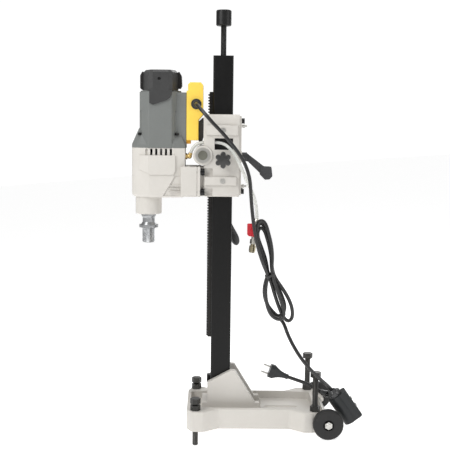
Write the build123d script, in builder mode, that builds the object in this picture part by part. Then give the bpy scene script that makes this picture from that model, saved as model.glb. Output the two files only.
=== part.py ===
"""Core drill rig: a rack-and-pinion drilling stand on a wheeled cast base, with its geared drill motor.

The column's axis is the working origin while the pieces are made; every finished piece is then moved by
SHIFT_X so that the origin lies at the middle of the rig's footprint, on the ground. X runs from the drill
spindle towards the wheels, -Y is the side with the knob and the cable, and Z is up.
"""

import math
import os

from build123d import *

# ---- driving dimensions, in millimetres -------------------------------------------------------------
SHIFT_X = -38.25           # moves the column-centred model to the middle of its footprint

COLUMN_SIDE = 50.0
COLUMN_WALL = 4.0
COLUMN_BOTTOM = 70.0
COLUMN_TOP = 964.0

FOOT_Z = 38.0              # underside of the base's feet
TRAY_Z = 70.0              # floor of the tray inside the rim
RIM_Z = 89.0               # top of the rim and of the screw bosses
BASE_FRONT = -84.0
BASE_REAR = 246.0
WAIST_Y = 82.0
CORNER_Y = 110.0
BASE_WALL = 9.0

SCREW_FRONT_X = -62.0
SCREW_REAR_X = 236.0
SCREW_Y = 94.0
SCREW_RADIUS = 7.0
SCREW_LENGTH = 119.5       # head top to tip
SCREW_HEAD = 13.5
LOCKNUT_HEIGHT = 13.5
REAR_SCREW_LIFT = 69.5     # the rear screws are wound up by this much
BORE_GAP = 0.05            # radial running clearance

AXLE_X = 266.0
AXLE_Z = 64.0
AXLE_RADIUS = 6.0
WHEEL_RADIUS = 37.5
WHEEL_INNER_Y = 111.6
WHEEL_WIDTH = 21.0

MODULE = 2.25              # feed rack and pinion, stub teeth
PINION_TEETH = 12
RACK_BOTTOM = 256.0
RACK_TOP = 876.0
RACK_TIP_X = -37.0
RACK_HALF_WIDTH = 10.0
STUB_ADDENDUM = 1.5
STUB_DEDENDUM = 2.0
FEED_BACKLASH = 0.3
PITCH_LINE_X = RACK_TIP_X + STUB_ADDENDUM
PINION_X = PITCH_LINE_X - MODULE * PINION_TEETH / 2
PINION_Z = 720.0

CARRIAGE_FRONT = -47.0
CARRIAGE_REAR = 41.0
CARRIAGE_HALF_Y = 50.0
CARRIAGE_BOTTOM = 618.0
CARRIAGE_TOP = 820.5
FLANGE_X = -54.6           # face that the four flange bolts pull against
JOINT_X = -63.0            # face where the gearbox arm meets the carriage

MOTOR_X = -154.5
SPINDLE_X = -185.0
GEARBOX_BOTTOM = 614.7
GEARBOX_TOP = 737.0
NECK_BOTTOM = 571.0
MOTOR_TOP = 877.0
MOTOR_RADIUS = 52.0

CORD_RADIUS = 4.5
HOSE_RADIUS = 4.0
WATER_X, WATER_Y, WATER_Z = -92.0, -36.0, 717.0      # water inlet on the gear case
CORD_ARC_SHARE = 0.45      # share of the shorter run that an arc may use

LOW = (Align.CENTER, Align.CENTER, Align.MIN)
NEAR = (0, -1, 0)
FAR = (0, 1, 0)
UP = (0, 0, 1)
DOWN = (0, 0, -1)
FRONT = (-1, 0, 0)
REAR = (1, 0, 0)

os.makedirs("parts", exist_ok=True)


# ---- helpers ----------------------------------------------------------------------------------------
def save(part, name):
    """Moves a finished piece to the rig's origin and writes it."""
    placed = part.moved(Location((SHIFT_X, 0, 0)))
    placed.label = name
    export_step(placed, f"parts/{name}.step")


def rod(start, direction, radius, length, mode=Mode.ADD):
    """A round bar from start along direction."""
    with Locations(Plane(origin=start, z_dir=direction)):
        Cylinder(radius, length, align=LOW, mode=mode)


def cone(start, direction, radius, end_radius, length, mode=Mode.ADD):
    """A tapered bar from start along direction."""
    with Locations(Plane(origin=start, z_dir=direction)):
        Cone(radius, end_radius, length, align=LOW, mode=mode)


def block(low, high, mode=Mode.ADD):
    """A box between two corners."""
    middle = [(a + b) / 2 for a, b in zip(low, high)]
    with Locations(tuple(middle)):
        Box(*[b - a for a, b in zip(low, high)], mode=mode)


def hexagon(start, direction, across_flats, length, mode=Mode.ADD):
    """A hexagonal prism from start along direction."""
    with BuildSketch(Plane(origin=start, z_dir=direction)) as outline:
        RegularPolygon(across_flats / math.sqrt(3), 6)
    extrude(outline.sketch, amount=length, mode=mode)


def side_profile(points, y_low, y_high, mode=Mode.ADD, corner=0.0):
    """A plate whose outline lies in the XZ plane, from y_low to y_high."""
    with BuildSketch(Plane.XZ.offset(-y_high)) as outline:
        with BuildLine():
            Polyline(*points, close=True)
        make_face()
        if corner > 0:
            fillet(outline.vertices(), radius=corner)
    extrude(outline.sketch, amount=y_high - y_low, mode=mode)


def plan_profile(points, z_low, z_high, mode=Mode.ADD, corner=0.0):
    """A plate whose outline lies in the XY plane, from z_low to z_high."""
    with BuildSketch(Plane.XY.offset(z_low)) as outline:
        with BuildLine():
            Polyline(*points, close=True)
        make_face()
        if corner > 0:
            fillet(outline.vertices(), radius=corner)
    extrude(outline.sketch, amount=z_high - z_low, mode=mode)


def mirrored(points):
    """The outline of a plan that is the same on both sides of the X axis."""
    return points + [(x, -y) for x, y in reversed(points)]


def gear_points(teeth, module, addendum, dedendum, thinning, turn):
    """Outline of a spur gear with involute flanks; one tooth is centred at the angle turn, in radians."""
    pressure = math.radians(20)
    pitch = module * teeth / 2
    base = pitch * math.cos(pressure)
    tip = pitch + addendum
    root = pitch - dedendum
    half_at_pitch = (math.pi * module / 2 - thinning) / (2 * pitch)
    start = math.tan(pressure) - pressure

    def half_angle(radius):
        """Half of the tooth's angle at a radius."""
        if radius <= base:
            return half_at_pitch + start
        angle = math.acos(base / radius)
        return half_at_pitch + start - (math.tan(angle) - angle)

    low = max(root, base)
    radii = [root, low + (tip - low) * 0.05, low + (tip - low) * 0.35, low + (tip - low) * 0.68, tip]
    points = []
    for tooth in range(teeth):
        middle = turn + 2 * math.pi * tooth / teeth
        sides = [(r, middle - half_angle(r)) for r in radii]
        sides += [(r, middle + half_angle(r)) for r in reversed(radii)]
        points += [(r * math.cos(a), r * math.sin(a)) for r, a in sides]
    return points


def gear(centre_plane, points, length):
    """A gear body on a plane, from its outline."""
    with BuildSketch(centre_plane) as outline:
        with BuildLine():
            Polyline(*points, close=True)
        make_face()
    extrude(outline.sketch, amount=length)


def cord_tube(points, radius, name):
    """A tube of straight runs and tangent arcs along a route, each arc as large as its runs allow."""
    places = [Vector(*p) for p in points]
    radii = []
    for before, here, after in zip(places, places[1:], places[2:]):
        half_turn = math.radians((here - before).get_angle(after - here)) / 2
        shorter = min((here - before).length, (after - here).length)
        radii.append(CORD_ARC_SHARE * shorter / math.tan(half_turn))
    print(name, "arc radii", [round(r) for r in radii])
    with BuildPart() as tube:
        with BuildLine() as path:
            FilletPolyline(*points, radius=radii)
        start = places[0]
        with BuildSketch(Plane(origin=start, z_dir=places[1] - start)):
            Circle(radius)
        sweep(path=path.wires()[0])
    length = path.wires()[0].length
    print(name, "length", round(length), "volume ratio", round(tube.part.volume / (math.pi * radius**2 * length), 4))
    return tube.part


# ---- base -------------------------------------------------------------------------------------------
base_plan = mirrored([
    (BASE_FRONT, 84.0),
    (-70.0, CORNER_Y),
    (-42.0, CORNER_Y),
    (-4.0, WAIST_Y),
    (174.0, WAIST_Y),
    (208.0, CORNER_Y),
    (234.0, CORNER_Y),
    (BASE_REAR, 84.0),
])
tray_plan = mirrored([
    (BASE_FRONT + BASE_WALL, 66.0),
    (-36.0, 70.0),
    (-4.0, WAIST_Y - BASE_WALL),
    (174.0, WAIST_Y - BASE_WALL),
    (206.0, 70.0),
    (BASE_REAR - BASE_WALL, 66.0),
])
gusset = [(-33.0, RIM_Z - 2), (-33.0, 144.0), (26.0, 176.0), (38.0, 175.0), (92.0, RIM_Z - 2)]
gusset_root = [(-46.0, TRAY_Z - 2), (-46.0, 92.0), (100.0, 92.0), (108.0, TRAY_Z - 2)]
screw_places = [(SCREW_FRONT_X, -SCREW_Y), (SCREW_FRONT_X, SCREW_Y), (SCREW_REAR_X, -SCREW_Y), (SCREW_REAR_X, SCREW_Y)]
COLUMN_HALF = COLUMN_SIDE / 2
GUSSET_OUTER = 41.0
FOOT_BOLT_RADIUS = 6.0

with BuildPart() as base:
    plan_profile(base_plan, FOOT_Z, RIM_Z, corner=13)
    fillet(base.edges().group_by(Axis.Z)[-1], radius=4)
    plan_profile(tray_plan, TRAY_Z, RIM_Z + 5, mode=Mode.SUBTRACT, corner=12)
    plan_profile(tray_plan, FOOT_Z - 5, TRAY_Z - 9, mode=Mode.SUBTRACT, corner=12)
    side_profile(gusset_root, -GUSSET_OUTER, GUSSET_OUTER)
    for side in (-1, 1):
        inner, outer = sorted((side * (COLUMN_HALF + 0.4), side * GUSSET_OUTER))
        side_profile(gusset, inner, outer)
        side_profile([(228, 46), (228, 82), (262, 77), (266, 77), (280, 66), (280, 60), (266, 50), (250, 46)],
                     *sorted((side * 84.0, side * 108.0)))
    block((-COLUMN_HALF - 0.2, -COLUMN_HALF - 0.2, TRAY_Z), (COLUMN_HALF + 0.2, COLUMN_HALF + 0.2, 200), mode=Mode.SUBTRACT)
    block((40, -24, TRAY_Z), (112, 24, 100), mode=Mode.SUBTRACT)
    for x, y in screw_places:
        rod((x, y, FOOT_Z), UP, SCREW_RADIUS + 8, RIM_Z - FOOT_Z)
    for x, y in screw_places:
        rod((x, y, FOOT_Z - 5), UP, SCREW_RADIUS + BORE_GAP, 80, mode=Mode.SUBTRACT)
    rod((AXLE_X, -120, AXLE_Z), FAR, AXLE_RADIUS + BORE_GAP, 240, mode=Mode.SUBTRACT)
    rod((0, 0, FOOT_Z), UP, FOOT_BOLT_RADIUS + 0.5, 60, mode=Mode.SUBTRACT)
    with BuildSketch(Plane.XY.offset(FOOT_Z)):
        with Locations((158, 0)):
            SlotOverall(86, 16)
    extrude(amount=40, mode=Mode.SUBTRACT)
save(base.part, "base_casting")

with BuildPart() as axle:
    rod((AXLE_X, -137, AXLE_Z), FAR, AXLE_RADIUS, 274)
    chamfer(axle.edges().filter_by(GeomType.CIRCLE), length=0.8)
save(axle.part, "wheel_axle")

with BuildPart() as axle_nuts:
    for side in (-1, 1):
        start = (AXLE_X, side * (WHEEL_INNER_Y + WHEEL_WIDTH - 5.6), AXLE_Z)
        hexagon(start, (0, side, 0), 17, 8)
        rod(start, (0, side, 0), AXLE_RADIUS, 8, mode=Mode.SUBTRACT)
save(axle_nuts.part, "axle_nuts")

for side, name in ((-1, "near"), (1, "far")):
    outward = (0, side, 0)
    inner_face = (AXLE_X, side * WHEEL_INNER_Y, AXLE_Z)
    outer_face = (AXLE_X, side * (WHEEL_INNER_Y + WHEEL_WIDTH), AXLE_Z)
    with BuildPart() as wheel:
        rod(inner_face, outward, WHEEL_RADIUS, WHEEL_WIDTH)
        fillet(wheel.edges().filter_by(GeomType.CIRCLE), radius=5)
        rod(outer_face, (0, -side, 0), 13.5, 6, mode=Mode.SUBTRACT)
        rod(inner_face, outward, AXLE_RADIUS + BORE_GAP, WHEEL_WIDTH, mode=Mode.SUBTRACT)
    save(wheel.part, f"wheel_{name}")

lift = {"front": 0.0, "rear": REAR_SCREW_LIFT}
for (x, y), name in zip(screw_places, ("front_near", "front_far", "rear_near", "rear_far")):
    tip = lift[name.split("_")[0]]
    with BuildPart() as screw:
        rod((x, y, tip), UP, SCREW_RADIUS, SCREW_LENGTH - SCREW_HEAD)
        chamfer(screw.edges().group_by(Axis.Z)[0], length=1.5)
        hexagon((x, y, tip + SCREW_LENGTH - SCREW_HEAD), UP, 22.5, SCREW_HEAD)
    save(screw.part, f"levelling_screw_{name}")

with BuildPart() as locknuts:
    for x, y in screw_places:
        hexagon((x, y, RIM_Z), UP, 22, LOCKNUT_HEIGHT)
        rod((x, y, RIM_Z), UP, SCREW_RADIUS + BORE_GAP, LOCKNUT_HEIGHT, mode=Mode.SUBTRACT)
save(locknuts.part, "levelling_locknuts")

# ---- column -----------------------------------------------------------------------------------------
with BuildPart() as column:
    with BuildSketch(Plane.XY.offset(COLUMN_BOTTOM)):
        RectangleRounded(COLUMN_SIDE, COLUMN_SIDE, 5)
        RectangleRounded(COLUMN_SIDE - 2 * COLUMN_WALL, COLUMN_SIDE - 2 * COLUMN_WALL, 2, mode=Mode.SUBTRACT)
    extrude(amount=COLUMN_TOP - COLUMN_BOTTOM)
    for z in (285, 480, 675, 850):
        rod((-COLUMN_HALF - 1, 0, z), REAR, 3.1, 12, mode=Mode.SUBTRACT)
save(column.part, "column_tube")

PLUG_SIDE = COLUMN_SIDE - 2 * COLUMN_WALL - 0.4
with BuildPart() as plugs:
    for z_low, length, radius in ((COLUMN_TOP - 26, 26, SCREW_RADIUS + BORE_GAP),
                                  (COLUMN_BOTTOM, 30, FOOT_BOLT_RADIUS)):
        with BuildSketch(Plane.XY.offset(z_low)) as plug_plan:
            RectangleRounded(PLUG_SIDE, PLUG_SIDE, 2.2)
        extrude(plug_plan.sketch, amount=length)
        rod((0, 0, z_low), UP, radius, length, mode=Mode.SUBTRACT)
save(plugs.part, "column_plugs")

with BuildPart() as jack:
    rod((0, 0, 895), UP, SCREW_RADIUS, 165)
    chamfer(jack.edges().group_by(Axis.Z)[0], length=1.5)
save(jack.part, "jack_screw")

with BuildPart() as jack_pad:
    rod((0, 0, 1037.5), UP, 19, 38)
    chamfer(jack_pad.edges().filter_by(GeomType.CIRCLE), length=2)
    rod((0, 0, 1037), UP, SCREW_RADIUS, 23, mode=Mode.SUBTRACT)
save(jack_pad.part, "jack_pad")

pitch_step = math.pi * MODULE
slope = math.tan(math.radians(20))
tooth_half = (pitch_step / 2 - FEED_BACKLASH / 2) / 2
root_x = PITCH_LINE_X + STUB_DEDENDUM
rack_line = [(-COLUMN_HALF, RACK_BOTTOM), (root_x, RACK_BOTTOM)]
first_tooth = math.ceil((RACK_BOTTOM - PINION_Z + 4) / pitch_step)
last_tooth = math.floor((RACK_TOP - PINION_Z - 4) / pitch_step)
for number in range(first_tooth, last_tooth + 1):
    middle = PINION_Z + number * pitch_step
    foot = tooth_half + STUB_DEDENDUM * slope
    tip = tooth_half - STUB_ADDENDUM * slope
    rack_line += [(root_x, middle - foot), (RACK_TIP_X, middle - tip)]
    rack_line += [(RACK_TIP_X, middle + tip), (root_x, middle + foot)]
rack_line += [(root_x, RACK_TOP), (-COLUMN_HALF, RACK_TOP)]
rack_screw_heights = (285, 480, 675, 850)
with BuildPart() as rack:
    side_profile(rack_line, -RACK_HALF_WIDTH, RACK_HALF_WIDTH)
    for z in rack_screw_heights:
        rod((-COLUMN_HALF, 0, z), FRONT, 3.1, 15, mode=Mode.SUBTRACT)
        rod((-COLUMN_HALF - 3.5, 0, z), FRONT, 5.6, 15, mode=Mode.SUBTRACT)
save(rack.part, "feed_rack")

with BuildPart() as column_screws:
    rod((0, 0, TRAY_Z - 9), UP, FOOT_BOLT_RADIUS, 36)
    hexagon((0, 0, TRAY_Z - 9), DOWN, 19, 7.5)
    for z in rack_screw_heights:
        rod((-COLUMN_HALF - 3.5, 0, z), REAR, 3.0, 14)
        rod((-COLUMN_HALF - 3.5, 0, z), FRONT, 5.0, 4)
        hexagon((-COLUMN_HALF - 5.5, 0, z), FRONT, 3, 3, mode=Mode.SUBTRACT)
save(column_screws.part, "column_screws")

with BuildPart() as stop_block:
    block((-34.5, -9, 136), (-COLUMN_HALF, 9, 155))
    chamfer(stop_block.edges().group_by(Axis.X)[0], length=1.5)
save(stop_block.part, "travel_stop_block")

# ---- carriage ---------------------------------------------------------------------------------------
flange_bolt_places = [(y, z) for z in (629.5, 679.0) for y in (-52.0, 52.0)]
BORE_HALF = 29.0           # half of the hollow that the column passes through
RACK_SLOT_HALF = 12.0
BOSS_RADIUS = 24.0
SHAFT_RADIUS = 10.0
BUSH_RADIUS = 15.5
KNOB_X = 0.8
KNOB_Z = 709.7
LEVER_Z = 716.0
cover_bolt_places = [(y, z) for z in (631.0, 805.0) for y in (-34.0, 34.0)]
guide_screw_heights = (657.0, 781.5)
rear_screw_heights = (642.0, 793.0)

with BuildPart() as carriage:
    block((CARRIAGE_FRONT, -CARRIAGE_HALF_Y, CARRIAGE_BOTTOM), (CARRIAGE_REAR, CARRIAGE_HALF_Y, CARRIAGE_TOP))
    fillet(carriage.edges().filter_by(Axis.X), radius=7)
    fillet(carriage.edges().group_by(Axis.X)[0], radius=4)
    block((FLANGE_X, -43, CARRIAGE_BOTTOM + 1), (CARRIAGE_FRONT + 6, 43, 691))
    block((JOINT_X, -58, CARRIAGE_BOTTOM), (FLANGE_X, 58, 692))
    fillet(carriage.edges().group_by(Axis.X)[0], radius=3)
    rod((PINION_X, -53, PINION_Z), FAR, BOSS_RADIUS, 106)
    for z_low, z_high, x_low, x_high in ((769.5, 794.0, -41, 37), (647.0, 667.6, -44, 35)):
        for y_low, y_high in ((-55.0, -45.0), (45.0, 55.0)):
            block((x_low, y_low, z_low), (x_high, y_high, z_high))
    block((-BORE_HALF, -BORE_HALF, 600), (BORE_HALF, BORE_HALF, 850), mode=Mode.SUBTRACT)
    block((-39.0, -RACK_SLOT_HALF, 600), (-BORE_HALF + 1, RACK_SLOT_HALF, 850), mode=Mode.SUBTRACT)
    rod((PINION_X, -RACK_SLOT_HALF, PINION_Z), FAR, STUB_ADDENDUM + MODULE * PINION_TEETH / 2 + 1.5,
        2 * RACK_SLOT_HALF, mode=Mode.SUBTRACT)
    rod((PINION_X, -60, PINION_Z), FAR, BUSH_RADIUS, 120, mode=Mode.SUBTRACT)
    block((-20, -51, 734), (25, -32, 762), mode=Mode.SUBTRACT)
    rod((-60, -41, 751.5), REAR, HOSE_RADIUS + 2.5, 60, mode=Mode.SUBTRACT)
    rod((KNOB_X, -60, KNOB_Z), FAR, 5.05, 32, mode=Mode.SUBTRACT)
    for y, z in flange_bolt_places:
        rod((FLANGE_X, y, z), REAR, 9.5, 30, mode=Mode.SUBTRACT)
        rod((JOINT_X - 1, y, z), REAR, 5.0, 12, mode=Mode.SUBTRACT)
    for z in guide_screw_heights:
        for y_start in (-60, 28):
            rod((0.5, y_start, z), FAR, 4.0, 32, mode=Mode.SUBTRACT)
    for y, z in cover_bolt_places:
        rod((CARRIAGE_REAR - 11, y, z), REAR, 4.0, 12, mode=Mode.SUBTRACT)
    for z in rear_screw_heights:
        rod((CARRIAGE_REAR - 13, 0, z), REAR, 3.0, 14, mode=Mode.SUBTRACT)
    rod((CARRIAGE_REAR - 13, 0, LEVER_Z), REAR, 5.05, 14, mode=Mode.SUBTRACT)
save(carriage.part, "carriage_housing")

with BuildPart() as slide_pads:
    for z_low in (640, 764):
        for y_low, y_high in ((-BORE_HALF, -COLUMN_HALF - BORE_GAP), (COLUMN_HALF + BORE_GAP, BORE_HALF)):
            block((-18, y_low, z_low), (18, y_high, z_low + 34))
        block((COLUMN_HALF + BORE_GAP, -18, z_low - 8), (BORE_HALF, 18, z_low + 42))
    block((KNOB_X - 9, -BORE_HALF, KNOB_Z - 9), (KNOB_X + 9, -COLUMN_HALF - BORE_GAP, KNOB_Z + 9))
save(slide_pads.part, "slide_pads")

with BuildPart() as guide_screws:
    for z in rear_screw_heights:
        rod((BORE_HALF, 0, z), REAR, 3.0, 32)
        rod((50, 0, z), REAR, 5.5, 5)
        rod((46, 0, z), REAR, 4.2, 4)
    for z in guide_screw_heights:
        for side in (-1, 1):
            rod((0.5, side * BORE_HALF, z), (0, side, 0), 4.0, 28)
            rod((0.5, side * 55, z), (0, side, 0), 6.5, 1.6)
            hexagon((0.5, side * 60, z), (0, -side, 0), 4, 5, mode=Mode.SUBTRACT)
save(guide_screws.part, "guide_adjusting_screws")

with BuildPart() as rear_cover:
    block((CARRIAGE_REAR, -44, 621), (46, 44, 817))
    fillet(rear_cover.edges().filter_by(Axis.X), radius=8)
    chamfer(rear_cover.edges().group_by(Axis.X)[-1], length=1)
    rod((CARRIAGE_REAR, 0, LEVER_Z), REAR, 14, 8)
    rod((CARRIAGE_REAR, 0, LEVER_Z), REAR, 5.05, 12, mode=Mode.SUBTRACT)
    for y, z in cover_bolt_places:
        rod((CARRIAGE_REAR, y, z), REAR, 4.0, 12, mode=Mode.SUBTRACT)
    for z in rear_screw_heights:
        rod((CARRIAGE_REAR, 0, z), REAR, 3.0, 14, mode=Mode.SUBTRACT)
save(rear_cover.part, "carriage_rear_cover")


def cap_screw(seat, direction, radius, length, head_radius, head_length, key):
    """A socket head screw: its head stands off the seat along direction and its shank goes the other way."""
    inward = [-c for c in direction]
    rod(seat, inward, radius, length)
    rod(seat, direction, head_radius, head_length)
    top = [s + c * head_length for s, c in zip(seat, direction)]
    hexagon(top, inward, key, head_length * 0.55, mode=Mode.SUBTRACT)


with BuildPart() as carriage_bolts:
    for y, z in cover_bolt_places:
        cap_screw((46, y, z), REAR, 4.0, 15, 6.5, 7.5, 6)
    for y, z in flange_bolt_places:
        cap_screw((FLANGE_X, y, z), REAR, 5.0, 24, 8.0, 10.5, 8)
save(carriage_bolts.part, "carriage_bolts")

with BuildPart() as bushes:
    for side in (-1, 1):
        rod((PINION_X, side * (RACK_SLOT_HALF + 1), PINION_Z), (0, side, 0), BUSH_RADIUS, 39)
        rod((PINION_X, side * 53, PINION_Z), (0, side, 0), 18.5, 2)
    rod((PINION_X, -60, PINION_Z), FAR, SHAFT_RADIUS + BORE_GAP, 120, mode=Mode.SUBTRACT)
    rod((PINION_X, -RACK_SLOT_HALF - 1, PINION_Z), FAR, BUSH_RADIUS + 1, 2 * RACK_SLOT_HALF + 2, mode=Mode.SUBTRACT)
    for side in (-1, 1):
        rod((PINION_X, side * 52.95, PINION_Z), (0, side, 0), SHAFT_RADIUS + BORE_GAP, 4, mode=Mode.SUBTRACT)
save(bushes.part, "pinion_bushes")

# a gap of the pinion faces the rack at the height PINION_Z, where the rack has a tooth
PINION_TURN = math.pi / PINION_TEETH
LEVER_PLANE_Y = 62.0
with BuildPart() as pinion:
    gear(Plane(origin=(PINION_X, 11, PINION_Z), x_dir=(1, 0, 0), z_dir=NEAR),
         gear_points(PINION_TEETH, MODULE, STUB_ADDENDUM, STUB_DEDENDUM, FEED_BACKLASH / 2, PINION_TURN), 22)
    rod((PINION_X, -55.5, PINION_Z), FAR, SHAFT_RADIUS, 129)
    rod((PINION_X, -57.5, PINION_Z), FAR, SHAFT_RADIUS + 1.6, 2.2)
save(pinion.part, "pinion_shaft")

# the feed lever hangs from the far end of the pinion shaft, leaning towards the wheels
LEVER_LEAN = math.radians(21)
LEVER_DIRECTION = (math.sin(LEVER_LEAN), 0, -math.cos(LEVER_LEAN))


def along_lever(distance, y):
    """A point of the feed lever's line, at a distance from the pinion's axis."""
    return (PINION_X + LEVER_DIRECTION[0] * distance, y, PINION_Z + LEVER_DIRECTION[2] * distance)


with BuildPart() as feed_lever:
    rod((PINION_X, LEVER_PLANE_Y, PINION_Z), FAR, 17, 12)
    rod(along_lever(14, LEVER_PLANE_Y + 6), LEVER_DIRECTION, 5.0, 200)
    rod((PINION_X, LEVER_PLANE_Y - 1, PINION_Z), FAR, SHAFT_RADIUS, 14, mode=Mode.SUBTRACT)
    rod((PINION_X, LEVER_PLANE_Y + 12, PINION_Z), FAR, 12, 2)
    hexagon((PINION_X, LEVER_PLANE_Y + 14, PINION_Z), FAR, 13, 4)
save(feed_lever.part, "feed_lever")

with BuildPart() as lever_grip:
    with BuildSketch(Plane(origin=along_lever(190, LEVER_PLANE_Y + 6), x_dir=LEVER_DIRECTION, z_dir=FAR)) as half:
        with BuildLine():
            Line((0, 0), (0, 6.5))
            Spline((0, 6.5), (28, 9.5), (50, 10.8), (61, 6.0), (64, 0), tangents=((1, 0), (0, -1)))
            Line((64, 0), (0, 0))
        make_face()
    revolve(half.sketch, axis=Axis(along_lever(190, LEVER_PLANE_Y + 6), LEVER_DIRECTION))
    rod(along_lever(180, LEVER_PLANE_Y + 6), LEVER_DIRECTION, 5.0, 34, mode=Mode.SUBTRACT)
save(lever_grip.part, "feed_lever_grip")

with BuildPart() as star_knob:
    rod((KNOB_X, -57, KNOB_Z), NEAR, 9, 4)
    rod((KNOB_X, -61, KNOB_Z), NEAR, 13.5, 17)
    for lobe in range(6):
        angle = math.radians(60 * lobe + 30)
        rod((KNOB_X + 14.8 * math.cos(angle), -62.5, KNOB_Z + 14.8 * math.sin(angle)), NEAR, 5.9, 14)
    rod((KNOB_X, -60, KNOB_Z), FAR, 5.0, 30.5)
save(star_knob.part, "lock_knob")

with BuildPart() as clamp_lever:
    rod((49.4, 0, LEVER_Z), REAR, 11, 12)
    side_profile([(52, LEVER_Z - 9.4), (52, LEVER_Z + 9.6), (62, LEVER_Z + 8.6), (108, 690), (108, 672), (96, 674), (64, 704)],
                 -6.5, 6.5)
    side_profile([(94, 672), (98, 693), (123, 692), (126, 668), (119, 660), (107, 659)], -9.0, 9.0, corner=3.5)
    rod((BORE_HALF + 0.5, 0, LEVER_Z), REAR, 5.0, 22)
save(clamp_lever.part, "clamp_lever")

# ---- gearbox ----------------------------------------------------------------------------------------
LAYSHAFT_X = -157.6
LAYSHAFT_Y = 21.8
CASE_WALL = 6.0
PLATE_Z = GEARBOX_TOP      # underside of the motor's bottom plate
ARM_TOP = 687.0


def case_outline(inset):
    """Plan of the gear case: round the spindle at the front and square towards the carriage."""
    with BuildSketch(Plane.XY) as outline:
        with Locations((SPINDLE_X, 0)):
            Circle(42.0 - inset)
        with Locations((-150.0, 0)):
            Rectangle(60 - 2 * inset, 2 * (50.0 - inset))
        with Locations((-120.0, 0)):
            Rectangle(54 - 2 * inset, 2 * (46.0 - inset))
        make_hull()
    return outline.sketch


# a raised band round the case below the vent slots, with its lower corners cut away
with BuildPart() as cheek:
    with Locations((0, 0, 671)):
        add(case_outline(-3.0))
    extrude(amount=48)
    side_profile([(-206, 719), (-116, 719), (-116, 681), (-122, 671), (-178, 671), (-206, 684)], -70, 70,
                 mode=Mode.INTERSECT)

with BuildPart() as gearbox:
    with Locations((0, 0, GEARBOX_BOTTOM)):
        add(case_outline(0))
    extrude(amount=GEARBOX_TOP - GEARBOX_BOTTOM)
    fillet(gearbox.edges().group_by(Axis.Z)[0], radius=8)
    rod((SPINDLE_X, 0, NECK_BOTTOM), UP, 33.0, GEARBOX_BOTTOM - NECK_BOTTOM + 8)
    chamfer(gearbox.edges().group_by(Axis.Z)[0], length=2)
    block((-96, -46, 617), (JOINT_X, 46, ARM_TOP))
    block((-103, -58, 618), (JOINT_X, 58, 692))
    add(cheek.part)
    rod((-101, -36, 720), REAR, 11, 9)
    with Locations((0, 0, 622)):
        add(case_outline(CASE_WALL))
    extrude(amount=GEARBOX_TOP - 622, mode=Mode.SUBTRACT)
    rod((SPINDLE_X, 0, NECK_BOTTOM + 7), UP, 27.5, 60, mode=Mode.SUBTRACT)
    rod((SPINDLE_X, 0, NECK_BOTTOM - 2), UP, 24.5, 12, mode=Mode.SUBTRACT)
    rod((LAYSHAFT_X, LAYSHAFT_Y, 618), UP, 11, 14)
    rod((LAYSHAFT_X, LAYSHAFT_Y, 618), UP, 7.0, 20, mode=Mode.SUBTRACT)
    rod((WATER_X - 10, WATER_Y, WATER_Z), REAR, 4.0, 20, mode=Mode.SUBTRACT)
    for y_low, y_high in ((-51.0, -47.6), (47.6, 51.0)):
        side_profile([(-117, 668), (-103.2, 668), (-103.2, 620), (-146, 620)], y_low, y_high, mode=Mode.SUBTRACT)
        for z in (628.0, 635.5, 643.0):
            block((-131, y_low, z), (-103.2, y_high, z + 2.6))
    for number in range(6):
        x = -190 + 12 * number
        block((x, -60, 719.5), (x + 5.5, -42, 735), mode=Mode.SUBTRACT)
    for y, z in flange_bolt_places:
        rod((JOINT_X + 1, y, z), FRONT, 5.0, 17, mode=Mode.SUBTRACT)
save(gearbox.part, "gearbox_housing")


def flat_gear(x, y, z, height, points):
    """A spur gear with its axis up, centred at x, y."""
    gear(Plane.XY.offset(z), [(x + px, y + py) for px, py in points], height)


FINE = 1.0                 # module of the first reduction
COARSE = 1.75              # module of the second reduction
ROTOR_TEETH, LAY_GEAR_TEETH, LAY_PINION_TEETH, SPINDLE_TEETH = 10, 34, 12, 28
lay_to_spindle = math.atan2(-LAYSHAFT_Y, SPINDLE_X - LAYSHAFT_X)
lay_to_rotor = math.atan2(-LAYSHAFT_Y, MOTOR_X - LAYSHAFT_X)


def stub(teeth, module, turn):
    """Outline of a gear with shortened teeth and a little backlash."""
    return gear_points(teeth, module, 0.75 * module, 0.95 * module, 0.09 * module, turn)


with BuildPart() as spindle:
    rod((SPINDLE_X, 0, 498), UP, 15.875, 38.5)
    chamfer(spindle.edges().group_by(Axis.Z)[0], length=2)
    rod((SPINDLE_X, 0, 536.4), UP, 24, 6.6)
    cone((SPINDLE_X, 0, 543), UP, 19.5, 15.5, 7)
    rod((SPINDLE_X, 0, 550), UP, 15.5, 10)
    cone((SPINDLE_X, 0, 560), UP, 15.5, 18.5, 6)
    rod((SPINDLE_X, 0, 566), UP, 18.5, 4.7)
    rod((SPINDLE_X, 0, 570), UP, 15, 97)
    flat_gear(SPINDLE_X, 0, 652, 18,
              stub(SPINDLE_TEETH, COARSE, lay_to_spindle + math.pi + math.pi / SPINDLE_TEETH))
    rod((SPINDLE_X, 0, 666), UP, 10, 71)
    rod((SPINDLE_X, 0, 730), UP, 7.5, 15)
    rod((SPINDLE_X, 0, 490), UP, 5, 170, mode=Mode.SUBTRACT)
save(spindle.part, "spindle")


with BuildPart() as layshaft:
    rod((LAYSHAFT_X, LAYSHAFT_Y, 622), UP, 4, 122)
    flat_gear(LAYSHAFT_X, LAYSHAFT_Y, 650, 22, stub(LAY_PINION_TEETH, COARSE, lay_to_spindle))
    flat_gear(LAYSHAFT_X, LAYSHAFT_Y, 702, 14, stub(LAY_GEAR_TEETH, FINE, lay_to_rotor + math.pi / LAY_GEAR_TEETH))
save(layshaft.part, "layshaft_gears")

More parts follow.
